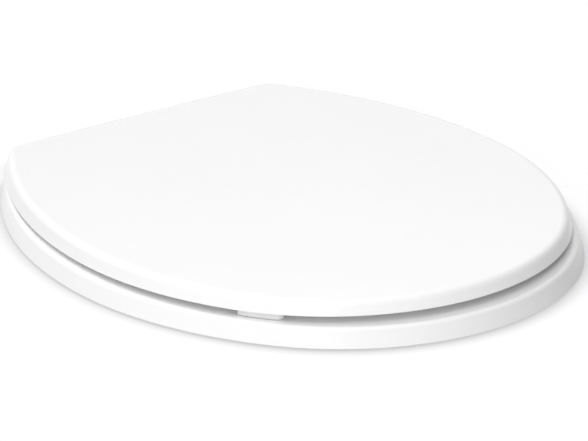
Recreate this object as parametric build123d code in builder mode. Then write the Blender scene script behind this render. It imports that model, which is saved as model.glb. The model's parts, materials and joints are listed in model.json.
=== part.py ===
from build123d import *
import os
from math import asin, atan2, cos, degrees, radians, sin

# A toilet seat with its lid closed, in millimetres.
# The origin lies midway between the two fixing studs, on the top of the bowl.
# +Z is up, and the nose of the seat points along -Y.

# Bowl that the seat is bolted to
stud_spacing = 155.0
bowl_thickness = 30.0

# Seat ring in plan
ring_width = 375.0
ring_length = 423.0
ring_widest = 202.0
ring_nose_turn = 37.7
ring_back_width = 222.0
ring_corner_radius = 23.0
ring_setback = 11.5

# Seat ring in section
ring_lift = 1.5
ring_height = 14.0
ring_flare = 4.0
ring_edge_radius = 3.5
ring_skin = 4.5
ring_wall = 7.0
ring_rib = 3.0
ring_rib_lines = 7

# Opening in the ring
opening_width = 228.0
opening_front_band = 64.0
opening_rear_band = 78.0
opening_turn = 28.5
opening_edge_radius = 8.0
opening_lower_edge = 1.5

# Lid, set in from the ring's outline
lid_side_inset = 8.7
lid_nose_inset = 12.4
lid_back_inset = 1.5
lid_corner_inset = 0.5
lid_nose_turn = 30.9
lid_corner_radius = 21.5
lid_back_edge = 13.0
lid_nose_edge = 9.8
lid_crown = 2.5
lid_flare = 3.6
lid_edge_radius = 5.0
lid_skin = 4.5
lid_rim = 20.0
lid_dish_corner = 25.0
lid_dish_edge = 4.0
lid_tilt = 0.78
lid_back_gap = 0.3

# Buffers between the lid and the ring
lid_buffer_length = 34.0
lid_buffer_width = 9.0
lid_buffer_inset = 2.0
lid_buffer_angle = 52.7
lid_buffer_socket = 2.0
lid_buffer_gap = 0.2

# Buffers between the ring and the bowl
ring_buffer_length = 30.0
ring_buffer_width = 12.0
ring_buffer_socket = 4.0
ring_buffer_boss = 4.0
ring_buffer_angle = 36.0
ring_buffer_rear_x = 100.0
ring_buffer_rear_y = 48.0
ring_buffer_rear_turn = 38.0

# Hinges
axis_height = 9.0
pin_radius = 2.5
pin_clearance = 0.05
pin_head_radius = 4.5
pin_head_thickness = 1.5
pin_end_gap = 0.3
bush_wall = 1.45
bush_flange = 1.0
bush_flange_step = 1.7
thrust_gap = 0.2
knuckle_radius = 6.5
lug_width = 8.0
lug_root = 6.0
lug_root_width = 1.0
lid_lug_relief = 1.5
post_width = 16.0
post_crown_radius = 7.0
post_front = 9.5
post_rear = 8.5
post_foot = 4.0
post_edge = 0.8
cap_radius = 5.0
cap_wall = 2.0
cap_depth = 4.0
cap_edge = 1.0

# Fixings
gasket_thickness = 1.5
gasket_clearance = 0.3
stud_radius = 4.0
stud_top_radius = 3.3
stud_top_length = 3.8
stud_thread_radius = 3.55
stud_spare = 10.0
stud_chamfer = 1.0
seal_radius = 12.0
seal_lip_radius = 9.0
seal_thickness = 4.0
washer_radius = 12.0
washer_thickness = 1.6
washer_clearance = 0.25
nut_hub_radius = 7.5
nut_height = 12.0
nut_hub_edge = 1.0
nut_span = 40.0
nut_wing = 4.0
nut_wing_drop = 2.5
nut_wing_root_radius = 4.0
nut_wing_tip_radius = 5.5

# Places that follow from the sizes above
ring_back = -ring_setback
ring_nose = ring_back - ring_length
widest_line = ring_back - ring_widest
ring_top = ring_lift + ring_height
lid_width = ring_width - 2 * lid_side_inset
lid_back = ring_back - lid_back_inset
lid_nose = ring_nose + lid_nose_inset
lid_back_width = ring_back_width - 2 * lid_corner_inset
opening_front = ring_nose + opening_front_band
opening_rear = ring_back - opening_rear_band
opening_middle = (opening_front + opening_rear) / 2
bush_radius = pin_radius + pin_clearance + bush_wall
bush_flange_radius = bush_radius + bush_flange_step
lug_start = post_width / 2 + thrust_gap + bush_flange
lug_middle = lug_start + lug_width / 2
lug_end = lug_start + lug_width
gasket_hole_radius = stud_top_radius + gasket_clearance
post_bottom = gasket_thickness
seal_top = -bowl_thickness
washer_top = seal_top - seal_thickness
nut_top = washer_top - washer_thickness
nut_bottom = nut_top - nut_height
wing_tip_reach = nut_span / 2 - nut_wing_tip_radius
wing_tip_height = nut_bottom - nut_wing_drop + nut_wing_tip_radius
beyond = 2 * ring_length
sides = (("left", -1), ("right", 1))

# The lid lies a little steeper than the ring, turned about the hinge axis
lid_level = Plane(
    origin=(0, 0, axis_height),
    x_dir=(1, 0, 0),
    z_dir=(0, sin(radians(lid_tilt)), cos(radians(lid_tilt))),
)
lid_seat = ring_top + lid_back_gap - axis_height
lid_plane = lid_level.offset(lid_seat)

# The lid's upper edge falls towards the nose, so the lid is thicker at the back
lid_fall = degrees(atan2(lid_back_edge - lid_nose_edge, lid_back - lid_nose))
lid_back_line = Location((0, lid_back, lid_back_edge), (lid_fall, 0, 0))
lid_upper_plane = Plane(lid_plane.location * lid_back_line * Location((0, -lid_back, 0)))


def oval_radii(width, reach, turn):
    """Tip radius and side radius of half an oval whose side arcs turn by this angle before the tip."""
    half = width / 2
    bend = radians(turn)
    spread = (reach - half) / (cos(bend) + sin(bend) - 1)
    return reach - spread * sin(bend), half + spread * cos(bend)


def oval_end(width, middle, tip, turn, inset):
    """Half of an oval: a tip arc and two side arcs, all tangent, from its middle line to its tip.

    The arcs are drawn parallel to that oval, set in by the inset.
    """
    ahead = 1 if tip > middle else -1
    start = 0 if tip > middle else 180
    tip_radius, side_radius = oval_radii(width, abs(tip - middle), turn)
    tip_centre = tip - ahead * tip_radius
    side_centre = ahead * (width / 2 - side_radius)
    CenterArc((side_centre, middle), side_radius - inset, start, turn)
    CenterArc((0, tip_centre), tip_radius - inset, start + turn, 180 - 2 * turn)
    CenterArc((-side_centre, middle), side_radius - inset, start + 180 - turn, turn)


def seat_outline(width, nose, back, back_width, nose_turn, corner_radius, inset=0.0):
    """Plan outline: an oval nose, two rear arcs and a straight back with rounded corners."""
    rear = back - widest_line
    narrowing = (width - back_width) / 2
    rear_radius = (narrowing**2 + rear**2) / (2 * narrowing)
    rear_centre = width / 2 - rear_radius
    sweep = degrees(asin((rear - inset) / (rear_radius - inset)))
    corner = rear_centre + (rear_radius - inset) * cos(radians(sweep))
    with BuildSketch() as outline:
        with BuildLine():
            oval_end(width, widest_line, nose, nose_turn, inset)
            CenterArc((rear_centre, widest_line), rear_radius - inset, 0, sweep)
            Line((corner, back - inset), (-corner, back - inset))
            CenterArc((-rear_centre, widest_line), rear_radius - inset, 180 - sweep, sweep)
        make_face()
        fillet(outline.vertices().group_by(Axis.Y)[-1], corner_radius)
    return outline.sketch


def ring_outline(inset=0.0):
    """Outline of the ring's lower rim, or a line set in from it."""
    corner_radius = ring_corner_radius - inset
    return seat_outline(
        ring_width, ring_nose, ring_back, ring_back_width, ring_nose_turn, corner_radius, inset
    )


def lid_outline(corner_radius, inset=0.0):
    """Outline of the lid's lower edge, or a line set in from it."""
    return seat_outline(
        lid_width, lid_nose, lid_back, lid_back_width, lid_nose_turn, corner_radius, inset
    )


def opening_outline(outset=0.0):
    """Egg-shaped outline of the opening, or a line set out from it."""
    with BuildSketch() as outline:
        with BuildLine():
            oval_end(opening_width, opening_middle, opening_front, opening_turn, -outset)
            oval_end(opening_width, opening_middle, opening_rear, opening_turn, -outset)
        make_face()
    return outline.sketch


def ring_buffer_places():
    """Name and place of each buffer under the ring."""
    places = []
    nose_radius, side_radius = oval_radii(ring_width, widest_line - ring_nose, ring_nose_turn)
    track = nose_radius - opening_front_band / 2
    centre = ring_nose + nose_radius
    for side, sign in sides:
        turn = sign * ring_buffer_angle
        x = track * sin(radians(turn))
        y = centre - track * cos(radians(turn))
        places.append((f"front_{side}", Location((x, y, 0), (0, 0, turn))))
        rear = Location(
            (sign * ring_buffer_rear_x, ring_back - ring_buffer_rear_y, 0),
            (0, 0, sign * ring_buffer_rear_turn),
        )
        places.append((f"rear_{side}", rear))
    return places


def lid_buffer_arc(sign):
    """Centre line of a buffer along the lid's nose, inside its end rounds."""
    nose_radius, side_radius = oval_radii(lid_width, widest_line - lid_nose, lid_nose_turn)
    track = nose_radius - lid_buffer_inset - lid_buffer_width / 2
    sweep = degrees((lid_buffer_length - lid_buffer_width) / track)
    start = -90 + sign * lid_buffer_angle - sweep / 2
    return CenterArc((0, lid_nose + nose_radius), track, start, sweep, mode=Mode.PRIVATE)


def save(piece, name):
    """Label a finished piece and write it."""
    piece.part.label = name
    export_step(piece.part, f"parts/{name}.step")


os.makedirs("parts", exist_ok=True)

# Seat ring: flared outside, open below with ribs, two lugs at the back
with BuildPart() as seat_ring:
    with BuildSketch(Plane.XY.offset(ring_lift)):
        add(ring_outline())
    with BuildSketch(Plane.XY.offset(ring_top)):
        add(ring_outline(inset=ring_flare))
    loft(ruled=True)
    fillet(seat_ring.faces().sort_by(Axis.Z)[-1].edges(), ring_edge_radius)
    with BuildSketch(Plane.XY.offset(ring_lift)):
        add(opening_outline())
    extrude(amount=ring_height, mode=Mode.SUBTRACT)
    inner = seat_ring.faces().sort_by(Axis.Z)[-1].inner_wires()[0].edges()
    fillet(inner, opening_edge_radius)
    lower = seat_ring.faces().sort_by(Axis.Z)[0].inner_wires()[0].edges()
    chamfer(lower, opening_lower_edge)
    with BuildSketch(Plane.XY.offset(ring_lift)):
        add(ring_outline(inset=ring_wall))
        add(opening_outline(outset=ring_wall), mode=Mode.SUBTRACT)
        with Locations((0, opening_middle)):
            with PolarLocations(0, ring_rib_lines, angular_range=180):
                Rectangle(beyond, ring_rib, mode=Mode.SUBTRACT)
        for name, place in ring_buffer_places():
            with Locations(place):
                SlotOverall(
                    ring_buffer_length + 2 * ring_buffer_boss,
                    ring_buffer_width + 2 * ring_buffer_boss,
                    mode=Mode.SUBTRACT,
                )
    extrude(amount=ring_height - ring_skin, mode=Mode.SUBTRACT)
    with BuildSketch(Plane.XY.offset(ring_lift)):
        for name, place in ring_buffer_places():
            with Locations(place):
                SlotOverall(ring_buffer_length, ring_buffer_width)
    extrude(amount=ring_buffer_socket, mode=Mode.SUBTRACT)
    for side, sign in sides:
        lug_plane = Plane.YZ.offset(sign * (stud_spacing / 2 - lug_middle))
        with BuildSketch(lug_plane):
            with Locations((0, axis_height)):
                Circle(knuckle_radius)
            with Locations((ring_back - lug_root, ring_lift + ring_height / 2)):
                Rectangle(lug_root_width, ring_height / 2)
            make_hull()
        extrude(amount=lug_width / 2, both=True)
        with BuildSketch(lug_plane):
            with Locations((0, axis_height)):
                Circle(bush_radius)
        extrude(amount=lug_width / 2, both=True, mode=Mode.SUBTRACT)
save(seat_ring, "seat_ring")

# Hollow under the lid, with the same crown as its top
crown_reach = (lid_back - lid_nose) / 2
crown_radius = (crown_reach**2 + lid_crown**2) / (2 * lid_crown)
crown_centre = Location((0, (lid_back + lid_nose) / 2, lid_crown - crown_radius))
with BuildPart() as dish:
    with BuildSketch(lid_plane):
        add(lid_outline(lid_dish_corner, inset=lid_rim))
    extrude(amount=lid_back_edge + lid_crown)
    with Locations(lid_upper_plane.location * crown_centre):
        Sphere(crown_radius - lid_skin, mode=Mode.INTERSECT)
    chamfer(dish.faces().sort_by(Axis.Z)[-1].edges(), lid_dish_edge)

# Lid: a crowned shell with a flared edge, a flat rim, two buffer sockets and two lugs at the back
with BuildPart() as lid:
    with BuildSketch(lid_plane):
        add(lid_outline(lid_corner_radius))
    with BuildSketch(lid_upper_plane.offset(lid_crown)):
        add(lid_outline(lid_corner_radius - lid_flare, inset=lid_flare))
    loft(ruled=True)
    with Locations(lid_upper_plane.location * crown_centre):
        Sphere(crown_radius, mode=Mode.INTERSECT)
    fillet(lid.faces().sort_by(Axis.Z)[-1].edges(), lid_edge_radius)
    add(dish.part, mode=Mode.SUBTRACT)
    with BuildSketch(lid_plane):
        for side, sign in sides:
            SlotArc(lid_buffer_arc(sign), lid_buffer_width)
    extrude(amount=lid_buffer_socket, mode=Mode.SUBTRACT)
    for side, sign in sides:
        lug_plane = Plane.YZ.offset(sign * (stud_spacing / 2 + lug_middle))
        with BuildSketch(lug_plane):
            with Locations((0, axis_height)):
                Circle(knuckle_radius)
            with Locations((lid_back - lug_root, axis_height + lid_seat + lid_back_edge / 2)):
                Rectangle(lug_root_width, lid_back_edge / 2)
            make_hull()
            with Locations((ring_back + lid_lug_relief, ring_top + lid_lug_relief)):
                Rectangle(beyond, beyond, align=Align.MAX, mode=Mode.SUBTRACT)
        extrude(amount=lug_width / 2, both=True)
        with BuildSketch(lug_plane):
            with Locations((0, axis_height)):
                Circle(bush_radius)
        extrude(amount=lug_width / 2, both=True, mode=Mode.SUBTRACT)
save(lid, "lid")

# Buffers pressed into the lid's rim, cut level with the top of the ring
for side, sign in sides:
    with BuildPart() as lid_buffer:
        with BuildSketch(lid_plane.offset(lid_buffer_socket)):
            SlotArc(lid_buffer_arc(sign), lid_buffer_width)
        extrude(amount=-(lid_buffer_socket + ring_height))
        split(bisect_by=Plane.XY.offset(ring_top + lid_buffer_gap), keep=Keep.TOP)
    save(lid_buffer, f"lid_buffer_{side}")

# Buffers pressed into the underside of the ring
for name, place in ring_buffer_places():
    with BuildPart() as ring_buffer:
        with BuildSketch(Plane.XY):
            with Locations(place):
                SlotOverall(ring_buffer_length, ring_buffer_width)
        extrude(amount=ring_lift + ring_buffer_socket)
    save(ring_buffer, f"ring_buffer_{name}")

# Hinges and fixings, one set at each stud
for side, sign in sides:
    stud_x = sign * stud_spacing / 2

    # Post: a block with a round crown, bored across for the pin and below for the stud
    with BuildPart() as hinge_post:
        with BuildSketch(Plane.YZ.offset(stud_x)):
            with Locations((0, axis_height)):
                Circle(post_crown_radius)
            with Locations(((post_rear - post_front) / 2, post_bottom)):
                Rectangle(post_front + post_rear, post_foot, align=(Align.CENTER, Align.MIN))
            make_hull()
        extrude(amount=post_width / 2, both=True)
        chamfer(hinge_post.faces().filter_by(Axis.X).edges(), post_edge)
        with BuildSketch(Plane.YZ.offset(stud_x)):
            with Locations((0, axis_height)):
                Circle(pin_radius)
        extrude(amount=post_width / 2, both=True, mode=Mode.SUBTRACT)
        with BuildSketch(Plane.XY.offset(post_bottom)):
            with Locations((stud_x, 0)):
                Circle(stud_top_radius)
        extrude(amount=stud_top_length, mode=Mode.SUBTRACT)
    save(hinge_post, f"hinge_post_{side}")

    # Pin: a headed rod, its head beside the lid's lug and its end in the cap
    pin_end = lug_end + pin_end_gap
    with BuildPart() as hinge_pin:
        with BuildSketch(Plane.YZ.offset(stud_x + sign * pin_end)):
            with Locations((0, axis_height)):
                Circle(pin_radius)
        extrude(amount=-sign * (2 * pin_end + cap_depth))
        with BuildSketch(Plane.YZ.offset(stud_x + sign * pin_end)):
            with Locations((0, axis_height)):
                Circle(pin_head_radius)
        extrude(amount=sign * pin_head_thickness)
    save(hinge_pin, f"hinge_pin_{side}")

    # Cap: pushed over the inner end of the pin, beside the ring's lug
    with BuildPart() as pin_cap:
        with BuildSketch(Plane.YZ.offset(stud_x - sign * pin_end)):
            with Locations((0, axis_height)):
                Circle(cap_radius)
        extrude(amount=-sign * (cap_depth + cap_wall))
        chamfer(pin_cap.faces().sort_by(Axis.X)[0 if sign > 0 else -1].edges(), cap_edge)
        with BuildSketch(Plane.YZ.offset(stud_x - sign * pin_end)):
            with Locations((0, axis_height)):
                Circle(pin_radius)
        extrude(amount=-sign * cap_depth, mode=Mode.SUBTRACT)
    save(pin_cap, f"pin_cap_{side}")

    # Bushes: flanged sleeves, one in the ring's lug and one in the lid's lug
    for carrier, outward in (("ring", -sign), ("lid", sign)):
        with BuildPart() as bush:
            with BuildSketch(Plane.YZ.offset(stud_x + outward * lug_end)):
                with Locations((0, axis_height)):
                    Circle(bush_radius)
            extrude(amount=-outward * lug_width)
            with BuildSketch(Plane.YZ.offset(stud_x + outward * lug_start)):
                with Locations((0, axis_height)):
                    Circle(bush_flange_radius)
            extrude(amount=-outward * bush_flange)
            with BuildSketch(Plane.YZ.offset(stud_x + outward * lug_end)):
                with Locations((0, axis_height)):
                    Circle(pin_radius + pin_clearance)
            extrude(amount=-outward * (lug_width + bush_flange), mode=Mode.SUBTRACT)
        save(bush, f"{carrier}_bush_{side}")

    # Gasket between the post and the bowl
    with BuildPart() as foot_gasket:
        with BuildSketch(Plane.XY):
            with Locations((stud_x, (post_rear - post_front) / 2)):
                Rectangle(post_width, post_front + post_rear)
            with Locations((stud_x, 0)):
                Circle(gasket_hole_radius, mode=Mode.SUBTRACT)
        extrude(amount=gasket_thickness)
    save(foot_gasket, f"foot_gasket_{side}")

    # Stud: screwed into the post, plain through the bowl, threaded below it
    with BuildPart() as mounting_stud:
        with BuildSketch(Plane.XY):
            with Locations((stud_x, 0)):
                Circle(stud_top_radius)
        extrude(amount=gasket_thickness + stud_top_length)
        with BuildSketch(Plane.XY):
            with Locations((stud_x, 0)):
                Circle(stud_radius)
        extrude(amount=-bowl_thickness)
        with BuildSketch(Plane.XY.offset(seal_top)):
            with Locations((stud_x, 0)):
                Circle(stud_thread_radius)
        extrude(amount=nut_bottom - stud_spare - seal_top)
        chamfer(mounting_stud.faces().sort_by(Axis.Z)[0].edges(), stud_chamfer)
    save(mounting_stud, f"mounting_stud_{side}")

    # Rubber seal washer, coned towards the bowl
    with BuildPart() as seal_washer:
        with BuildSketch(Plane.XZ.shift_origin((stud_x, 0, 0))):
            with BuildLine():
                Polyline(
                    (stud_thread_radius + washer_clearance, seal_top),
                    (seal_lip_radius, seal_top),
                    (seal_radius, washer_top),
                    (stud_thread_radius + washer_clearance, washer_top),
                    close=True,
                )
            make_face()
        revolve(axis=Axis((stud_x, 0, 0), (0, 0, 1)))
    save(seal_washer, f"seal_washer_{side}")

    # Flat washer under the nut
    with BuildPart() as flat_washer:
        with BuildSketch(Plane.XY.offset(nut_top)):
            with Locations((stud_x, 0)):
                Circle(washer_radius)
                Circle(stud_thread_radius + washer_clearance, mode=Mode.SUBTRACT)
        extrude(amount=washer_thickness)
    save(flat_washer, f"flat_washer_{side}")

    # Wing nut: a round hub with two wings that widen towards their tips
    with BuildPart() as wing_nut:
        with BuildSketch(Plane.XY.offset(nut_bottom)):
            with Locations((stud_x, 0)):
                Circle(nut_hub_radius)
        extrude(amount=nut_height)
        chamfer(wing_nut.faces().sort_by(Axis.Z)[0].edges(), nut_hub_edge)
        for wing in (-1, 1):
            with BuildSketch(Plane.XZ):
                with Locations((stud_x, nut_bottom + nut_height / 2)):
                    Circle(nut_wing_root_radius)
                with Locations((stud_x + wing * wing_tip_reach, wing_tip_height)):
                    Circle(nut_wing_tip_radius)
                make_hull()
            extrude(amount=nut_wing / 2, both=True)
        with BuildSketch(Plane.XY.offset(nut_top)):
            with Locations((stud_x, 0)):
                Circle(stud_thread_radius)
        extrude(amount=-beyond, mode=Mode.SUBTRACT)
    save(wing_nut, f"wing_nut_{side}")
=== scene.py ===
import json
import math

import bpy
import numpy as np
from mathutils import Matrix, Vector


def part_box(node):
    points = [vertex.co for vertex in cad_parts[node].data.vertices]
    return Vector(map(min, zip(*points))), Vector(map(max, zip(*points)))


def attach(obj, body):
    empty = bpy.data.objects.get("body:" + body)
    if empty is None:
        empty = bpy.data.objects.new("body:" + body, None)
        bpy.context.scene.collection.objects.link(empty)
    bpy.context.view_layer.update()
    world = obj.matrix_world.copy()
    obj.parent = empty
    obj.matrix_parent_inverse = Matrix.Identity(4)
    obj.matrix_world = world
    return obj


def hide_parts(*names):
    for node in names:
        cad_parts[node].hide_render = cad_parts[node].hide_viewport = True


bl_info = {
    "name": "Toilet Seat",
    "version": (1, 0, 0),
    "blender": (4, 5, 0),
    "location": "3D View > Sidebar > Toilet Seat",
    "description": "Finishes a closed toilet seat, its hinges and its fixings, on a white studio floor",
    "category": "Object",
}

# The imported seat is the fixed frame: metres, +Z up, nose along -Y, bowl top at z 0
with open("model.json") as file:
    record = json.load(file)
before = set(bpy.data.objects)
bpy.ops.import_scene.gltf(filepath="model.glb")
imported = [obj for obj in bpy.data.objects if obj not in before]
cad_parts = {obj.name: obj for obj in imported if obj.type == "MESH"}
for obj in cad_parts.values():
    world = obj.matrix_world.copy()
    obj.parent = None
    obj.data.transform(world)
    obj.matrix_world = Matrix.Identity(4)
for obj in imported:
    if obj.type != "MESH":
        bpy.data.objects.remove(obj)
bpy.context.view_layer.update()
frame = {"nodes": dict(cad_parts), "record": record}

SIDES = ("left", "right")
FULL_TURN = 2 * math.pi

# Fineness of a stud: points round it, and rows in one pitch of its thread
STUD_POINTS = 48
PITCH_ROWS = 10

# Fineness of a buffer: points along a side and round an end, and rows in its rounded edge
PAD_SIDE_POINTS = 16
PAD_END_POINTS = 16
PAD_EDGE_ROWS = 7

# Noise: the range that most of it lies in, the detail of its two uses, and a grain that runs no way
NOISE_LOW = 0.3
NOISE_HIGH = 0.7
GRAIN_DETAIL = 3
CLOUD_DETAIL = 2
EVEN = (1, 1, 1)

# Surroundings: their colour, the cosine straight away from their bright side, and the horizon's height
WHITE = (1, 1, 1, 1)
AWAY = -1
HORIZON = 0

# How far the camera sees, in its distances to the seat
FAR_CLIP = 3


# Properties that a user would change


def length(name, description, default):
    """A length in metres."""
    return bpy.props.FloatProperty(
        name=name, description=description, default=default, unit="LENGTH", precision=5
    )


def angle(name, description, default):
    """An angle, given in degrees and kept in radians."""
    return bpy.props.FloatProperty(
        name=name, description=description, default=math.radians(default), subtype="ANGLE"
    )


def colour(name, description, default):
    """A linear colour."""
    return bpy.props.FloatVectorProperty(
        name=name, description=description, default=default, size=3, min=0, max=1, subtype="COLOR"
    )


def share(name, description, default):
    """A plain number from 0 to 1."""
    return bpy.props.FloatProperty(
        name=name, description=description, default=default, min=0, max=1, subtype="FACTOR"
    )


def level(name, description, default):
    """A strength with no upper limit."""
    return bpy.props.FloatProperty(name=name, description=description, default=default, min=0)


def watts(name, description, default):
    """A lamp's power."""
    return bpy.props.FloatProperty(
        name=name, description=description, default=default, min=0, unit="POWER"
    )


def focal_length(name, description, default):
    """A lens in millimetres."""
    return bpy.props.FloatProperty(
        name=name, description=description, default=default, min=1, unit="CAMERA"
    )


def place(name, description, default):
    """A point in the seat's frame."""
    return bpy.props.FloatVectorProperty(
        name=name, description=description, default=default, size=3, subtype="TRANSLATION"
    )


def direction(name, description, default):
    """A direction in the seat's frame."""
    return bpy.props.FloatVectorProperty(
        name=name, description=description, default=default, size=3, subtype="DIRECTION"
    )


def slot_colour(slot):
    """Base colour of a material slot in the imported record."""
    found = [m["base_color"] for m in frame["record"]["materials"] if m["slot"] == slot]
    return tuple(found[0])


class SeatFinishes(bpy.types.PropertyGroup):
    """Colours and roughness of the seat's materials."""

    moulding: colour("Moulding", "White of the lid and the ring", slot_colour("seat_white"))
    moulding_roughness: share("Moulding roughness", "Roughness of the gloss white", 0.2)
    buffer: colour("Buffers", "Soft white of the buffers", slot_colour("buffer_white"))
    buffer_roughness: share("Buffer roughness", "Roughness of the soft white", 0.5)
    hinge: colour("Hinges", "Satin steel of the posts and caps", slot_colour("hinge_steel"))
    pin: colour("Pins", "Ground steel of the pins", slot_colour("pin_steel"))
    stud: colour("Studs", "Steel of the studs and flat washers", slot_colour("stud_steel"))
    steel_roughness: share("Steel roughness", "Roughness of the brushed steel", 0.3)
    bush: colour("Bushes", "Bearing plastic of the bushes", slot_colour("bush_plastic"))
    nut: colour("Wing nuts", "Moulded plastic of the wing nuts", slot_colour("nut_plastic"))
    plastic_roughness: share("Plastic roughness", "Roughness of the matt plastics", 0.48)
    rubber: colour("Rubber", "Black of the gaskets and seals", slot_colour("gasket_rubber"))
    rubber_roughness: share("Rubber roughness", "Roughness of the rubber", 0.72)


class SeatSizes(bpy.types.PropertyGroup):
    """Sizes of what is added to the frame."""

    thread_pitch: length("Thread pitch", "Rise of the stud's thread in one turn", 0.00125)
    thread_depth: length("Thread depth", "Depth of the stud's thread, root to crest", 0.0006)
    shank_end: length("Shank end", "Height at which the plain shank becomes thread", -0.030)
    thread_radius: length("Thread radius", "Mean radius of the thread", 0.00355)
    shank_radius: length("Shank radius", "Radius of the plain shank", 0.004)
    tang_radius: length("Tang radius", "Radius of the end screwed into the post", 0.0033)
    tip_chamfer: length("Tip chamfer", "Chamfer at the stud's lower end", 0.001)
    pad_width: length("Pad width", "Width of a buffer under the lid", 0.009)
    pad_track: length("Pad track", "Radius of a buffer's centre line along the lid's nose", 0.16092)
    pad_centre: length("Pad centre", "Centre of that radius, along the seat", -0.25468)
    pad_turn: angle("Pad turn", "Turn from the nose to a buffer's middle", 52.7)
    pad_sweep: angle("Pad sweep", "Turn from one end of a buffer's centre line to the other", 8.901)
    pad_round: length("Pad round", "Radius of a buffer's lower edge", 0.0012)
    pad_sink: length("Pad sink", "Depth of a buffer's top below the floor of its socket", 0.0005)


class SeatStage(bpy.types.PropertyGroup):
    """Floor, light and camera."""

    azimuth: angle("Azimuth", "Camera's turn about the seat, from straight ahead of the nose", -34.89)
    elevation: angle("Elevation", "Camera's height above the horizon", 21.77)
    distance: length("Distance", "Camera to the point that it looks at", 9.907)
    lens: focal_length("Lens", "Focal length on a sensor 36 mm wide", 869.0)
    aim: place("Aim", "Point of the seat that the camera looks at", (-0.0033, -0.2134, 0.01245))
    floor_span: length("Floor", "Length of the floor's side", 8.0)
    floor_glow: level("Floor glow", "Light that is seen on top of the lit floor", 0.732)
    floor_shade: share("Floor shade", "Share of the lit floor that is seen", 0.275)
    # The contact shadow is painted: ambient occlusion dims the floor's glow close to the seat
    floor_reach: length("Shadow reach", "Distance over which the contact shadow fades", 0.016)
    floor_deepest: share("Shadow depth", "Share of the glow that is left under the seat's edge", 0.6)
    sky_bright: level("Bright sky", "Light from the surroundings' bright side", 0.892)
    sky_dim: level("Dim sky", "Light from the surroundings' dim side", 0.0)
    sky_below: level("Light from below", "Light from the surroundings below the horizon", 0.604)
    sky_side: direction("Bright side", "Way to the surroundings' bright side", (-0.906, 0.423, 0.0))
    sky_turn: level("Bright reach", "Cosine to the bright side from which the light is full", 0.5)
    sky_horizon: share("Horizon", "Share of the light that is left at the horizon", 0.6)
    sky_rise: share("Horizon rise", "Height of a ray of length one from which the light is full", 0.3)
    high_power: watts("High power", "Power of the soft lamp high behind the seat", 27.9)
    high_width: length("High width", "Side of the soft lamp high behind the seat", 1.4)
    high_place: place("High place", "Place of the soft lamp high behind the seat", (0.2, 1.7, 2.6))
    over_power: watts("Overhead power", "Power of the soft lamp over the nose", 4.52)
    over_width: length("Overhead width", "Side of the soft lamp over the nose", 1.0)
    over_place: place("Overhead place", "Place of the soft lamp over the nose", (-0.15, -0.8, 1.15))
    front_power: watts("Front power", "Power of the low soft lamp in front", 15.1)
    front_width: length("Front width", "Side of the low soft lamp in front", 0.9)
    front_place: place("Front place", "Place of the low soft lamp in front", (-1.45, -1.75, 0.62))


class SeatSettings(bpy.types.PropertyGroup):
    """All settings of the seat."""

    finishes: bpy.props.PointerProperty(type=SeatFinishes)
    sizes: bpy.props.PointerProperty(type=SeatSizes)
    stage: bpy.props.PointerProperty(type=SeatStage)


# Materials


class Nodes:
    """A material's node tree with short ways to add and join nodes."""

    def __init__(self, name):
        self.material = bpy.data.materials.new(name)
        self.material.use_nodes = True
        self.tree = self.material.node_tree
        self.surface = self.tree.nodes["Principled BSDF"]

    def add(self, kind, **values):
        """A new node of this kind, with the values of its named sockets."""
        node = self.tree.nodes.new(kind)
        for socket, value in values.items():
            node.inputs[socket.replace("_", " ")].default_value = value
        return node

    def join(self, source, target):
        """A link between two sockets."""
        self.tree.links.new(source, target)

    def noise(self, scale, detail, stretch=EVEN):
        """Noise on Object coordinates, its grain drawn out along the axes with a small stretch."""
        spot = self.add("ShaderNodeTexCoord")
        drawn = self.add("ShaderNodeMapping", Scale=stretch)
        noise = self.add("ShaderNodeTexNoise", Scale=scale, Detail=detail)
        self.join(spot.outputs["Object"], drawn.inputs["Vector"])
        self.join(drawn.outputs["Vector"], noise.inputs["Vector"])
        return noise.outputs["Fac"]

    def spread(self, source, low, high):
        """The noise's usual range carried to low and high."""
        remap = self.add("ShaderNodeMapRange")
        remap.inputs["From Min"].default_value = NOISE_LOW
        remap.inputs["From Max"].default_value = NOISE_HIGH
        remap.inputs["To Min"].default_value = low
        remap.inputs["To Max"].default_value = high
        self.join(source, remap.inputs["Value"])
        return remap.outputs["Result"]


def finish_material(name, base, roughness, vary, grain, bump, tint, cloud, stretch=EVEN, metal=0.0):
    """A finish that varies: fine grain for its roughness and relief, clouds for its tint.

    grain and cloud are noise scales per metre, vary is the roughness' swing, tint the colour's swing,
    bump the relief's depth in metres.
    """
    nodes = Nodes(name)
    surface = nodes.surface.inputs
    surface["Metallic"].default_value = metal
    fine = nodes.noise(grain, GRAIN_DETAIL, stretch)
    nodes.join(nodes.spread(fine, roughness - vary, roughness + vary), surface["Roughness"])
    relief = nodes.add("ShaderNodeBump", Strength=1.0, Distance=bump)
    nodes.join(fine, relief.inputs["Height"])
    nodes.join(relief.outputs["Normal"], surface["Normal"])
    mix = nodes.add("ShaderNodeMix")
    mix.data_type = "RGBA"
    mix.inputs["A"].default_value = (*[c * (1 - tint) for c in base], 1)
    mix.inputs["B"].default_value = (*[min(c * (1 + tint), 1) for c in base], 1)
    nodes.join(nodes.spread(nodes.noise(cloud, CLOUD_DETAIL), 0, 1), mix.inputs["Factor"])
    nodes.join(mix.outputs["Result"], surface["Base Color"])
    return nodes.material


def gloss_moulding(finishes):
    """Pressed white moulding: even gloss with a faint ripple."""
    return finish_material(
        "gloss_white_moulding", finishes.moulding, finishes.moulding_roughness,
        vary=0.03, grain=90, bump=0.000004, tint=0.006, cloud=14,
    )


def soft_white(finishes):
    """Soft white buffer: matt, finely grained."""
    return finish_material(
        "soft_white_buffer", finishes.buffer, finishes.buffer_roughness,
        vary=0.08, grain=900, bump=0.00003, tint=0.02, cloud=60,
    )


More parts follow.
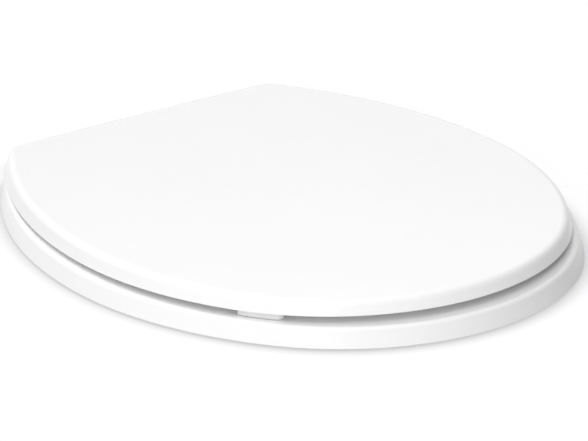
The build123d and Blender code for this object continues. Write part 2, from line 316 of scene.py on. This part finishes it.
def brushed_steel(name, base, finishes):
    """Brushed steel: long scratches along the hinge axis."""
    return finish_material(
        name, base, finishes.steel_roughness,
        vary=0.1, grain=1400, bump=0.000012, tint=0.05, cloud=120, stretch=(0.04, 1, 1), metal=1.0,
    )


def turned_steel(name, base, finishes):
    """Turned steel: fine rings along the stud's height."""
    return finish_material(
        name, base, finishes.steel_roughness,
        vary=0.1, grain=1600, bump=0.00001, tint=0.06, cloud=150, stretch=(0.15, 0.15, 1), metal=1.0,
    )


def matt_plastic(name, base, finishes):
    """Moulded plastic with a fine spark-eroded grain."""
    return finish_material(
        name, base, finishes.plastic_roughness,
        vary=0.07, grain=1800, bump=0.00003, tint=0.015, cloud=90,
    )


def matt_rubber(finishes):
    """Black rubber: dull, with a dusty bloom."""
    return finish_material(
        "matt_black_rubber", finishes.rubber, finishes.rubber_roughness,
        vary=0.1, grain=1100, bump=0.00004, tint=0.25, cloud=200,
    )


def dress(names, material):
    """Gives the frame's nodes of these names one material."""
    for name in names:
        for slot in frame["nodes"][name].material_slots:
            slot.link = "OBJECT"
            slot.material = material


def both_sides(*stems):
    """Node names of these stems on the left and on the right."""
    return [f"{stem}_{side}" for stem in stems for side in SIDES]


# Surfaces worked out as whole arrays


def loop_surface(name, rows, material):
    """A closed surface through rows of closed loops, an array of rows, points and xyz.

    Each quad joins a point, the next point of its loop and the two above them. The first and last loops
    are closed by fans to their middles.
    """
    count_rows, count_points = rows.shape[:2]
    points = rows.reshape(-1, 3)
    ends = np.array([rows[0].mean(0), rows[-1].mean(0)])
    index = np.arange(count_rows * count_points).reshape(count_rows, count_points)
    ahead = np.roll(index, -1, axis=1)
    quads = np.stack([index[:-1], ahead[:-1], ahead[1:], index[1:]], -1).reshape(-1, 4)
    first = np.full(count_points, len(points))
    last = first + 1
    fans = np.concatenate(
        [np.stack([ahead[0], index[0], first], -1), np.stack([index[-1], ahead[-1], last], -1)]
    )
    mesh = bpy.data.meshes.new(name)
    mesh.from_pydata(np.concatenate([points, ends]), [], quads.tolist() + fans.tolist())
    mesh.polygons.foreach_set("use_smooth", np.ones(len(mesh.polygons), bool))
    mesh.materials.append(material)
    piece = bpy.data.objects.new(name, mesh)
    bpy.context.scene.collection.objects.link(piece)
    return piece


def stud_surface(sizes, middle, top, bottom):
    """Rows of a stud: plain tang and shank, then a helical thread.

    On the thread the radius is the mean radius plus a triangle wave of the height over the pitch less
    the turn over a full turn, half a depth high. The wave fades out at the shank, and the radius stays
    inside the tip's chamfer.
    """
    turns = np.linspace(0, FULL_TURN, STUD_POINTS, endpoint=False)
    thread_rows = int((sizes.shank_end - bottom) / sizes.thread_pitch * PITCH_ROWS)
    heights = np.linspace(bottom, sizes.shank_end, thread_rows)[:, None]
    phase = heights / sizes.thread_pitch - turns / FULL_TURN
    wave = 4 * np.abs(phase - np.floor(phase) - 0.5) - 1
    fade = np.clip((sizes.shank_end - heights) / sizes.thread_pitch, 0, 1)
    radius = sizes.thread_radius + wave * fade * sizes.thread_depth / 2
    radius = np.minimum(radius, sizes.thread_radius - sizes.tip_chamfer + (heights - bottom))
    plain_heights = np.array([sizes.shank_end, 0, 0, top])
    plain_radii = np.repeat([sizes.shank_radius, sizes.tang_radius], 2)
    all_heights = np.concatenate([heights[:, 0], plain_heights])
    all_radii = np.concatenate([radius, np.repeat(plain_radii[:, None], len(turns), axis=1)])
    x = middle[0] + all_radii * np.cos(turns)
    y = middle[1] + all_radii * np.sin(turns)
    z = np.repeat(all_heights[:, None], len(turns), axis=1)
    return np.stack([x, y, z], -1)


def pad_surface(sizes, sign, bottom, top):
    """Rows of a buffer: a curved slot with a rounded lower edge.

    A point of a row is a point of the centre line, an arc about the nose's centre, plus half the row's
    width along a direction. The direction points outwards along the outer side, makes half a turn at
    one end, points inwards along the inner side and makes half a turn at the other end. In the lower
    edge the half width and the height follow a quarter of a circle.
    """
    middle = sign * sizes.pad_turn - math.pi / 2
    first, last = middle - sizes.pad_sweep / 2, middle + sizes.pad_sweep / 2
    side = np.linspace(first, last, PAD_SIDE_POINTS)
    cap = np.linspace(0, math.pi, PAD_END_POINTS)[1:-1]
    along = np.concatenate([side, np.full(len(cap), last), side[::-1], np.full(len(cap), first)])
    facing = np.concatenate([side, last + cap, side[::-1] + math.pi, first + math.pi + cap])
    bend = np.linspace(0, math.pi / 2, PAD_EDGE_ROWS)
    full = sizes.pad_width / 2
    half = np.append(full - sizes.pad_round * (1 - np.sin(bend)), full)
    heights = np.append(bottom + sizes.pad_round * (1 - np.cos(bend)), top)
    x = sizes.pad_track * np.cos(along) + half[:, None] * np.cos(facing)
    y = sizes.pad_centre + sizes.pad_track * np.sin(along) + half[:, None] * np.sin(facing)
    z = np.repeat(heights[:, None], len(along), axis=1)
    return np.stack([x, y, z], -1)


# Stage


def seen_rays(nodes):
    """One for the rays that show a surface: from the camera, a mirror or a clear thing."""
    path = nodes.new("ShaderNodeLightPath")
    both = nodes.new("ShaderNodeMath")
    both.operation = "MAXIMUM"
    every = nodes.new("ShaderNodeMath")
    every.operation = "MAXIMUM"
    links = both.id_data.links
    links.new(path.outputs["Is Camera Ray"], both.inputs[0])
    links.new(path.outputs["Is Glossy Ray"], both.inputs[1])
    links.new(both.outputs[0], every.inputs[0])
    links.new(path.outputs["Is Transmission Ray"], every.inputs[1])
    return every.outputs[0]


def lay_floor(stage):
    """A white floor on the bowl's plane, seen from above only.

    It shows a share of its own lit white plus a glow that ambient occlusion dims close to the seat, a
    painted contact shadow, so that it reads white and shows a shadow at the seat's edge. It stops no
    light, and its lower side lets every ray through, so that the seat can be seen from below.
    """
    half = stage.floor_span / 2
    mesh = bpy.data.meshes.new("studio_floor")
    corners = [(-half, -half, 0), (half, -half, 0), (half, half, 0), (-half, half, 0)]
    mesh.from_pydata(corners, [], [(0, 1, 2, 3)])
    floor = bpy.data.objects.new("studio_floor", mesh)
    floor.visible_diffuse = False
    floor.visible_shadow = False
    bpy.context.scene.collection.objects.link(floor)
    paper = Nodes("floor_paper")
    paper.tree.nodes.remove(paper.surface)
    shaded = (stage.floor_shade,) * 3 + (1,)
    lit = paper.add("ShaderNodeBsdfDiffuse", Color=shaded)
    # painted contact shadow: ambient occlusion dims the glow close to the seat, no lower than the
    # shadow depth
    painted_shadow = paper.add("ShaderNodeAmbientOcclusion", Distance=stage.floor_reach)
    depth = paper.add("ShaderNodeMath")
    depth.operation = "MAXIMUM"
    depth.inputs[1].default_value = stage.floor_deepest
    glow = paper.add("ShaderNodeEmission", Strength=stage.floor_glow)
    seen = paper.add("ShaderNodeAddShader")
    clear = paper.add("ShaderNodeBsdfTransparent")
    facing = paper.add("ShaderNodeNewGeometry")
    choose = paper.add("ShaderNodeMixShader")
    paper.join(painted_shadow.outputs["AO"], depth.inputs[0])
    paper.join(depth.outputs[0], glow.inputs["Color"])
    paper.join(lit.outputs[0], seen.inputs[0])
    paper.join(glow.outputs[0], seen.inputs[1])
    paper.join(facing.outputs["Backfacing"], choose.inputs[0])
    paper.join(seen.outputs[0], choose.inputs[1])
    paper.join(clear.outputs[0], choose.inputs[2])
    paper.join(choose.outputs[0], paper.tree.nodes["Material Output"].inputs["Surface"])
    mesh.materials.append(paper.material)


def light_sky(scene, stage):
    """White surroundings that light the seat unevenly.

    Rays that show a surface see them white. Rays that light one see, above the horizon, a smooth step
    from dim to bright over the cosine to the bright side, weaker close to the horizon, and below it an
    even light in place of what the floor would throw back.
    """
    world = bpy.data.worlds.new("studio")
    world.use_nodes = True
    scene.world = world
    nodes = world.node_tree.nodes
    links = world.node_tree.links
    sky = nodes["Background"]
    sky.inputs["Color"].default_value = WHITE
    ray = nodes.new("ShaderNodeTexCoord")
    cosine = nodes.new("ShaderNodeVectorMath")
    cosine.operation = "DOT_PRODUCT"
    cosine.inputs[1].default_value = stage.sky_side
    step = nodes.new("ShaderNodeMapRange")
    step.interpolation_type = "SMOOTHSTEP"
    step.inputs["From Min"].default_value = AWAY
    step.inputs["From Max"].default_value = stage.sky_turn
    step.inputs["To Min"].default_value = stage.sky_dim
    step.inputs["To Max"].default_value = stage.sky_bright
    split = nodes.new("ShaderNodeSeparateXYZ")
    rise = nodes.new("ShaderNodeMapRange")
    rise.inputs["From Max"].default_value = stage.sky_rise
    rise.inputs["To Min"].default_value = stage.sky_horizon
    above = nodes.new("ShaderNodeMath")
    above.operation = "MULTIPLY"
    under = nodes.new("ShaderNodeMath")
    under.operation = "LESS_THAN"
    under.inputs[1].default_value = HORIZON
    light = nodes.new("ShaderNodeMix")
    light.inputs["B"].default_value = stage.sky_below
    choose = nodes.new("ShaderNodeMix")
    choose.inputs["B"].default_value = 1
    links.new(ray.outputs["Generated"], cosine.inputs[0])
    links.new(cosine.outputs["Value"], step.inputs["Value"])
    links.new(ray.outputs["Generated"], split.inputs[0])
    links.new(split.outputs["Z"], rise.inputs["Value"])
    links.new(step.outputs["Result"], above.inputs[0])
    links.new(rise.outputs["Result"], above.inputs[1])
    links.new(split.outputs["Z"], under.inputs[0])
    links.new(under.outputs[0], light.inputs["Factor"])
    links.new(above.outputs[0], light.inputs["A"])
    links.new(light.outputs["Result"], choose.inputs["A"])
    links.new(seen_rays(nodes), choose.inputs["Factor"])
    links.new(choose.outputs["Result"], sky.inputs["Strength"])


def hang_lamp(name, where, width, power, target):
    """A soft square lamp, turned to its target.

    Mirrors don't show it, so it leaves no glare on the lid.
    """
    lamp = bpy.data.lights.new(name, "AREA")
    lamp.size = width
    lamp.energy = power
    softbox = bpy.data.objects.new(name, lamp)
    softbox.location = where
    softbox.visible_glossy = False
    softbox.rotation_mode = "QUATERNION"
    softbox.rotation_quaternion = (Vector(target) - softbox.location).to_track_quat("-Z", "Y")
    bpy.context.scene.collection.objects.link(softbox)


def place_camera(scene, stage):
    """A long lens at the photo's angle: it stands back along the line of sight from its aim."""
    across = math.cos(stage.elevation)
    back = Vector(
        (
            math.sin(stage.azimuth) * across,
            -math.cos(stage.azimuth) * across,
            math.sin(stage.elevation),
        )
    )
    lens = bpy.data.cameras.new("camera")
    lens.lens = stage.lens
    lens.clip_end = FAR_CLIP * stage.distance
    camera = bpy.data.objects.new("camera", lens)
    camera.location = Vector(stage.aim) + back * stage.distance
    camera.rotation_mode = "QUATERNION"
    camera.rotation_quaternion = (-back).to_track_quat("-Z", "Y")
    scene.collection.objects.link(camera)
    scene.camera = camera


# Operators, one for each piece or group of like pieces


class SEAT_OT_mouldings(bpy.types.Operator):
    """Finish the lid and the ring in gloss white"""

    bl_idname = "toilet_seat.mouldings"
    bl_label = "Lid and Ring"

    def execute(self, context):
        dress(["lid", "seat_ring"], gloss_moulding(context.scene.toilet_seat.finishes))
        return {"FINISHED"}


class SEAT_OT_buffers(bpy.types.Operator):
    """Make the rounded buffers under the lid and finish those under the ring"""

    bl_idname = "toilet_seat.buffers"
    bl_label = "Buffers"

    def execute(self, context):
        settings = context.scene.toilet_seat
        white = soft_white(settings.finishes)
        dress(both_sides("ring_buffer_front", "ring_buffer_rear"), white)
        for side, sign in zip(SIDES, (-1, 1)):
            node = f"lid_buffer_{side}"
            low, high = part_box(node)
            rows = pad_surface(settings.sizes, sign, low.z, high.z - settings.sizes.pad_sink)
            pad = loop_surface(f"rounded_buffer_{side}", rows, white)
            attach(pad, "lid_body")
            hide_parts(node)
        return {"FINISHED"}


class SEAT_OT_hinges(bpy.types.Operator):
    """Finish the hinge posts, pins, caps and bushes"""

    bl_idname = "toilet_seat.hinges"
    bl_label = "Hinges"

    def execute(self, context):
        finishes = context.scene.toilet_seat.finishes
        satin = brushed_steel("satin_steel", finishes.hinge, finishes)
        ground = brushed_steel("ground_steel", finishes.pin, finishes)
        bearing = matt_plastic("bearing_plastic", finishes.bush, finishes)
        dress(both_sides("hinge_post", "pin_cap"), satin)
        dress(both_sides("hinge_pin"), ground)
        dress(both_sides("ring_bush", "lid_bush"), bearing)
        return {"FINISHED"}


class SEAT_OT_seals(bpy.types.Operator):
    """Finish the rubber gaskets and seal washers"""

    bl_idname = "toilet_seat.seals"
    bl_label = "Gaskets and Seals"

    def execute(self, context):
        dress(both_sides("foot_gasket", "seal_washer"), matt_rubber(context.scene.toilet_seat.finishes))
        return {"FINISHED"}


class SEAT_OT_studs(bpy.types.Operator):
    """Make the threaded studs and finish their flat washers"""

    bl_idname = "toilet_seat.studs"
    bl_label = "Studs and Washers"

    def execute(self, context):
        settings = context.scene.toilet_seat
        steel = turned_steel("turned_steel", settings.finishes.stud, settings.finishes)
        dress(both_sides("flat_washer"), steel)
        for side in SIDES:
            node = f"mounting_stud_{side}"
            low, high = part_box(node)
            rows = stud_surface(settings.sizes, (low + high) / 2, high.z, low.z)
            stud = loop_surface(f"threaded_stud_{side}", rows, steel)
            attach(stud, "hinge_mount")
            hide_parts(node)
        return {"FINISHED"}


class SEAT_OT_nuts(bpy.types.Operator):
    """Finish the wing nuts"""

    bl_idname = "toilet_seat.nuts"
    bl_label = "Wing Nuts"

    def execute(self, context):
        finishes = context.scene.toilet_seat.finishes
        dress(both_sides("wing_nut"), matt_plastic("nut_plastic", finishes.nut, finishes))
        return {"FINISHED"}


class SEAT_OT_stage(bpy.types.Operator):
    """Lay the floor, set the light and place the camera"""

    bl_idname = "toilet_seat.stage"
    bl_label = "Stage"

    def execute(self, context):
        stage = context.scene.toilet_seat.stage
        lay_floor(stage)
        light_sky(context.scene, stage)
        hang_lamp("high_lamp", stage.high_place, stage.high_width, stage.high_power, stage.aim)
        hang_lamp("overhead_lamp", stage.over_place, stage.over_width, stage.over_power, stage.aim)
        hang_lamp("front_lamp", stage.front_place, stage.front_width, stage.front_power, stage.aim)
        place_camera(context.scene, stage)
        context.scene.view_settings.view_transform = "Standard"
        return {"FINISHED"}


class SEAT_PT_panel(bpy.types.Panel):
    """The seat's steps, in order"""

    bl_label = "Toilet Seat"
    bl_idname = "SEAT_PT_panel"
    bl_space_type = "VIEW_3D"
    bl_region_type = "UI"
    bl_category = "Toilet Seat"

    def draw(self, context):
        for step in STEPS:
            self.layout.operator(step.bl_idname)


STEPS = (
    SEAT_OT_mouldings,
    SEAT_OT_buffers,
    SEAT_OT_hinges,
    SEAT_OT_seals,
    SEAT_OT_studs,
    SEAT_OT_nuts,
    SEAT_OT_stage,
)
CLASSES = (SeatFinishes, SeatSizes, SeatStage, SeatSettings, *STEPS, SEAT_PT_panel)


def register():
    """Adds the classes and the scene's settings."""
    for cls in CLASSES:
        bpy.utils.register_class(cls)
    bpy.types.Scene.toilet_seat = bpy.props.PointerProperty(type=SeatSettings)


def unregister():
    """Takes the settings and the classes away again."""
    del bpy.types.Scene.toilet_seat
    for cls in reversed(CLASSES):
        bpy.utils.unregister_class(cls)


def main():
    """Registers the add-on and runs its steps."""
    register()
    bpy.ops.toilet_seat.mouldings()
    bpy.ops.toilet_seat.buffers()
    bpy.ops.toilet_seat.hinges()
    bpy.ops.toilet_seat.seals()
    bpy.ops.toilet_seat.studs()
    bpy.ops.toilet_seat.nuts()
    bpy.ops.toilet_seat.stage()


if __name__ == "__main__":
    main()
